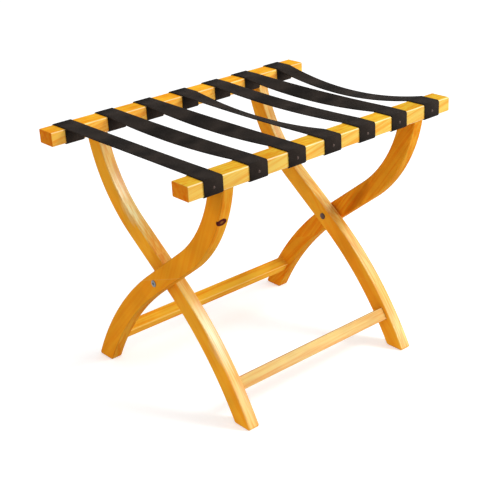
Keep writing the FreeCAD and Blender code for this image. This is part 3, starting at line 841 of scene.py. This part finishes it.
def woven_webbing(webbing):
    """Flat woven polyester webbing: dull charcoal, ribbed by its yarns, with painted shade between them and
    painted highlight on them, and lighter in places, partly paled by wear and partly painted sheen.
    """
    material, tree = new_material("woven polyester webbing")
    place = add(tree, "UVMap", uv_map="weave").outputs["UV"]
    split = add(tree, "SeparateXYZ", {0: place}).outputs
    waves = []
    for way, pitch in (("X", webbing.yarn_pitch), ("Y", webbing.yarn_pitch * WEFT_PITCH)):
        angle = add(tree, "Math", {0: split[way], 1: 2 * math.pi / pitch}, operation="MULTIPLY")
        waves.append(add(tree, "Math", {0: angle.outputs["Value"]}, operation="SINE").outputs["Value"])
    warp, weft = waves
    crossing = add(tree, "Math", {0: warp, 1: weft}, operation="MULTIPLY").outputs["Value"]
    height = add(tree, "MapRange", {"Value": crossing, "From Min": -1.0}).outputs["Result"]
    lint = add(tree, "TexNoise", {"Vector": place, "Scale": 1 / LINT_SIZE, "Detail": 4.0}).outputs["Fac"]
    wear_and_sheen = add(tree, "TexNoise", {"Vector": place, "Scale": 1 / WEAR_AND_SHEEN_SIZE, "Detail": 2.0}).outputs["Fac"]
    # Painted shade in the hollows between the yarns and painted highlight on their tops.
    painted_yarn_light = add(tree, "Math", {0: height, 1: lint}, operation="MULTIPLY").outputs["Value"]
    hollow_shade = rgba(webbing.yarn, PAINTED_HOLLOW_SHADE)
    ridge_highlight = rgba(webbing.yarn, PAINTED_RIDGE_HIGHLIGHT)
    colour = add(
        tree, "Mix", {SHARE: painted_yarn_light, COLOUR_1: hollow_shade, COLOUR_2: ridge_highlight}, data_type="RGBA",
    ).outputs[COLOUR_OUT]
    # Lighter stretches along the strap: partly yarn paled by wear, partly painted sheen.
    faded_and_sheen = add(
        tree, "MapRange", {"Value": wear_and_sheen, **WEAR_AND_SHEEN_SPAN, **WEAR_AND_SHEEN_TONES},
    ).outputs["Result"]
    colour = add(tree, "VectorMath", {0: colour, "Scale": faded_and_sheen}, operation="SCALE").outputs["Vector"]
    rough = add(tree, "MapRange", {"Value": height, "To Min": 0.9, "To Max": 0.7}).outputs["Result"]
    bump = add(
        tree, "Bump", {"Height": height, "Strength": 0.5, "Distance": WEAVE_RELIEF * MM},
    ).outputs["Normal"]
    shader = add(
        tree, "BsdfPrincipled",
        {"Base Color": colour, "Roughness": rough, "Normal": bump, "Specular IOR Level": 0.05},
    )
    add(tree, "OutputMaterial", {"Surface": shader.outputs["BSDF"]})
    return material


class BENCH_OT_straps(bpy.types.Operator):
    """Weave the seven straps round the rails"""

    bl_idname = "bench.straps"
    bl_label = "Straps"

    def execute(self, context):
        webbing = context.scene.bench.webbing
        material = woven_webbing(webbing)
        for number, strap in enumerate(STRAPS, start=1):
            piece, length = make_strap(number, webbing, strap)
            piece.data.materials.append(material)
            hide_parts("strap_" + str(number))
            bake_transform(piece)
        return {"FINISHED"}


# ---- Fittings ----


def metal(name, colour, roughness, grain_size, unevenness):
    """Plated or coloured steel: its tone and its gloss vary a little where it was tumbled and handled."""
    material, tree = new_material(name)
    place = add(tree, "TexCoord").outputs["Object"]
    mottle = add(
        tree, "TexNoise", {"Vector": place, "Scale": 1 / (grain_size * MM), "Detail": 4.0},
    ).outputs["Fac"]
    dull = rgba(colour, 1 - unevenness)
    bright = rgba(colour, 1 + unevenness)
    tone = add(
        tree, "Mix", {SHARE: mottle, COLOUR_1: dull, COLOUR_2: bright}, data_type="RGBA",
    ).outputs[COLOUR_OUT]
    rough = add(
        tree, "MapRange", {"Value": mottle, "To Min": roughness - 0.08, "To Max": roughness + 0.12},
    ).outputs["Result"]
    bump = add(
        tree, "Bump", {"Height": mottle, "Strength": 0.1, "Distance": FINE_RELIEF * MM},
    ).outputs["Normal"]
    shader = add(
        tree, "BsdfPrincipled", {"Base Color": tone, "Metallic": 1.0, "Roughness": rough, "Normal": bump},
    )
    add(tree, "OutputMaterial", {"Surface": shader.outputs["BSDF"]})
    return material


def moulded_nylon(colour):
    """Natural nylon: milky and waxy, with a fine moulded grain."""
    material, tree = new_material("moulded nylon")
    place = add(tree, "TexCoord").outputs["Object"]
    grain = add(
        tree, "TexNoise", {"Vector": place, "Scale": 1 / (MOULD_GRAIN * MM), "Detail": 3.0},
    ).outputs["Fac"]
    cloudy = add(
        tree, "TexNoise", {"Vector": place, "Scale": 1 / (NYLON_CLOUD * MM), "Detail": 1.0},
    ).outputs["Fac"]
    tone = add(
        tree, "Mix", {SHARE: cloudy, COLOUR_1: rgba(colour, 0.9), COLOUR_2: rgba(colour)}, data_type="RGBA",
    ).outputs[COLOUR_OUT]
    rough = add(tree, "MapRange", {"Value": grain, "To Min": 0.4, "To Max": 0.6}).outputs["Result"]
    bump = add(
        tree, "Bump", {"Height": grain, "Strength": 0.1, "Distance": FINE_RELIEF * MM},
    ).outputs["Normal"]
    shader = add(tree, "BsdfPrincipled", {"Base Color": tone, "Roughness": rough, "Normal": bump})
    add(tree, "OutputMaterial", {"Surface": shader.outputs["BSDF"]})
    return material


def bare_beech(colour):
    """Turned beech, left bare: pinkish tan, matt, with short dark flecks along the grain."""
    material, tree = new_material("bare beech")
    place = add(tree, "TexCoord").outputs["Object"]
    stretched = add(
        tree, "Mapping", {"Vector": place, "Scale": (1.0, 1.0, FLECK_STRETCH)},
    ).outputs["Vector"]
    flecks = add(
        tree, "TexVoronoi", {"Vector": stretched, "Scale": 1 / (BEECH_FLECK * MM)}, feature="F1",
    ).outputs["Distance"]
    fleck = add(tree, "MapRange", {"Value": flecks, **FLECK_SPAN}).outputs["Result"]
    tone = add(
        tree, "Mix", {SHARE: fleck, COLOUR_1: rgba(colour, 0.65), COLOUR_2: rgba(colour)}, data_type="RGBA",
    ).outputs[COLOUR_OUT]
    bump = add(
        tree, "Bump", {"Height": fleck, "Strength": 0.2, "Distance": FINE_RELIEF * MM},
    ).outputs["Normal"]
    shader = add(tree, "BsdfPrincipled", {"Base Color": tone, "Roughness": 0.7, "Normal": bump})
    add(tree, "OutputMaterial", {"Surface": shader.outputs["BSDF"]})
    return material


class BENCH_OT_tacks(bpy.types.Operator):
    """Finish the tacks that hold the straps"""

    bl_idname = "bench.tacks"
    bl_label = "Tacks"

    def execute(self, context):
        colour = context.scene.bench.fittings.blued
        blued = metal("blued steel", colour, roughness=0.45, grain_size=1.5, unevenness=0.2)
        for node in ("near_strap_tacks", "far_strap_tacks"):
            give(node, blued)
        return {"FINISHED"}


class BENCH_OT_pivots(bpy.types.Operator):
    """Finish the bolts, sleeve nuts and spacers that the frames turn on"""

    bl_idname = "bench.pivots"
    bl_label = "Pivots"

    def execute(self, context):
        fittings = context.scene.bench.fittings
        zinc = metal("zinc plated steel", fittings.zinc, roughness=0.32, grain_size=2.5, unevenness=0.12)
        bronzed = metal("bronzed steel", fittings.bronzed, roughness=0.4, grain_size=2.0, unevenness=0.2)
        nylon = moulded_nylon(fittings.nylon)
        for side in SIDES:
            give("pivot_bolt_" + side, zinc)
            give("pivot_sleeve_nut_" + side, bronzed)
            give("pivot_spacer_" + side, nylon)
        return {"FINISHED"}


class BENCH_OT_dowels(bpy.types.Operator):
    """Finish the dowels hidden in the joints"""

    bl_idname = "bench.dowels"
    bl_label = "Dowels"

    def execute(self, context):
        beech = bare_beech(context.scene.bench.fittings.beech)
        for node in BARS:
            give(node + "_dowels", beech)
        return {"FINISHED"}


# ---- Studio ----


def shown_rays(tree):
    """1 for what the camera sees, also in metal or through glass, and 0 for light that falls on the bench."""
    rays = add(tree, "LightPath").outputs
    shown = rays["Is Camera Ray"]
    for kind in ("Is Glossy Ray", "Is Transmission Ray"):
        shown = add(tree, "Math", {0: shown, 1: rays[kind]}, operation="MAXIMUM").outputs["Value"]
    return shown


def make_floor(studio):
    """A wide pale floor that keeps the bench's shadow."""
    corners = [(x * FLOOR_REACH, y * FLOOR_REACH, 0) for x, y in ((-1, -1), (1, -1), (1, 1), (-1, 1))]
    mesh = bpy.data.meshes.new("studio_floor")
    mesh.from_pydata(corners, [], [tuple(range(len(corners)))])
    floor = bpy.data.objects.new("studio_floor", mesh)
    bpy.context.scene.collection.objects.link(floor)
    material, tree = new_material("pale paper floor")
    lift = add(tree, "Math", {0: shown_rays(tree), 1: studio.floor_lift}, operation="MULTIPLY")
    paper = add(tree, "BsdfDiffuse", {"Color": rgba(studio.floor)}).outputs["BSDF"]
    glow = add(tree, "Emission", {"Strength": lift.outputs["Value"]}).outputs["Emission"]
    both = add(tree, "AddShader", {0: paper, 1: glow}).outputs["Shader"]
    add(tree, "OutputMaterial", {"Surface": both})
    mesh.materials.append(material)


def make_world(studio):
    """Even light from all round, and a white background."""
    world = bpy.data.worlds.new("studio")
    world.use_nodes = True
    tree = world.node_tree
    tree.nodes.clear()
    strength = add(
        tree, "Mix", {SHARE: shown_rays(tree), NUMBER_1: studio.sky, NUMBER_2: 1.0},
    ).outputs[NUMBER_OUT]
    sky = add(tree, "Background", {"Color": rgba(WHITE), "Strength": strength}).outputs["Background"]
    add(tree, "OutputWorld", {"Surface": sky})
    bpy.context.scene.world = world


def make_lamp(name, place, power, size, aim_height):
    """One soft lamp that shines on the middle of the bench."""
    light = bpy.data.lights.new(name, "AREA")
    light.shape = "RECTANGLE"
    light.size, light.size_y = size
    light.energy = power
    lamp = bpy.data.objects.new(name, light)
    lamp.location = place
    aim = Vector((0, 0, aim_height)) - lamp.location
    lamp.rotation_euler = aim.to_track_quat("-Z", "Y").to_euler()
    bpy.context.scene.collection.objects.link(lamp)


def make_camera(studio):
    """The camera, turned round the bench and then slid in its own plane."""
    back = Vector(
        (
            math.sin(studio.azimuth) * math.cos(studio.elevation),
            -math.cos(studio.azimuth) * math.cos(studio.elevation),
            math.sin(studio.elevation),
        )
    )
    level = (-back).cross(Vector((0, 0, 1))).normalized()
    upright = level.cross(-back)
    right = level * math.cos(studio.roll) + upright * math.sin(studio.roll)
    up = upright * math.cos(studio.roll) - level * math.sin(studio.roll)
    aim = Vector((0, 0, studio.aim_height)) + right * studio.slide[0] + up * studio.slide[1]
    lens = bpy.data.cameras.new("camera")
    lens.sensor_width = SENSOR_WIDTH
    lens.lens = studio.lens
    camera = bpy.data.objects.new("camera", lens)
    turned = Matrix((right, up, back)).transposed().to_4x4()
    camera.matrix_world = Matrix.Translation(aim + back * studio.distance) @ turned
    bpy.context.scene.collection.objects.link(camera)
    bpy.context.scene.camera = camera


class BENCH_OT_studio(bpy.types.Operator):
    """Set up the floor, the light and the camera"""

    bl_idname = "bench.studio"
    bl_label = "Studio"

    def execute(self, context):
        studio = context.scene.bench.studio
        make_floor(studio)
        make_world(studio)
        make_lamp("key_lamp", studio.key_place, studio.key_power, studio.key_size, studio.aim_height)
        make_lamp("fill_lamp", studio.fill_place, studio.fill_power, studio.fill_size, studio.aim_height)
        make_camera(studio)
        context.scene.view_settings.view_transform = "Standard"
        return {"FINISHED"}


class BENCH_PT_bench(bpy.types.Panel):
    """Lists the pieces of the bench"""

    bl_label = "Luggage bench"
    bl_idname = "BENCH_PT_bench"
    bl_space_type = "VIEW_3D"
    bl_region_type = "UI"
    bl_category = "Bench"

    def draw(self, context):
        for operator in OPERATORS:
            self.layout.operator(operator.bl_idname)
        for group in ("wood", "webbing", "fittings", "studio"):
            box = self.layout.box()
            settings = getattr(context.scene.bench, group)
            for name in settings.__annotations__:
                box.prop(settings, name)


OPERATORS = (
    BENCH_OT_rails,
    BENCH_OT_legs,
    BENCH_OT_stretchers,
    BENCH_OT_straps,
    BENCH_OT_tacks,
    BENCH_OT_pivots,
    BENCH_OT_dowels,
    BENCH_OT_studio,
)
CLASSES = (
    WoodSettings,
    WebbingSettings,
    FittingSettings,
    StudioSettings,
    BenchSettings,
    *OPERATORS,
    BENCH_PT_bench,
)


def register():
    for cls in CLASSES:
        bpy.utils.register_class(cls)
    bpy.types.Scene.bench = PointerProperty(type=BenchSettings)


def unregister():
    del bpy.types.Scene.bench
    for cls in reversed(CLASSES):
        bpy.utils.unregister_class(cls)


def main():
    """Makes the bench."""
    register()
    for operator in (
        bpy.ops.bench.rails,
        bpy.ops.bench.legs,
        bpy.ops.bench.stretchers,
        bpy.ops.bench.straps,
        bpy.ops.bench.tacks,
        bpy.ops.bench.pivots,
        bpy.ops.bench.dowels,
        bpy.ops.bench.studio,
    ):
        operator()


if __name__ == "__main__":
    main()
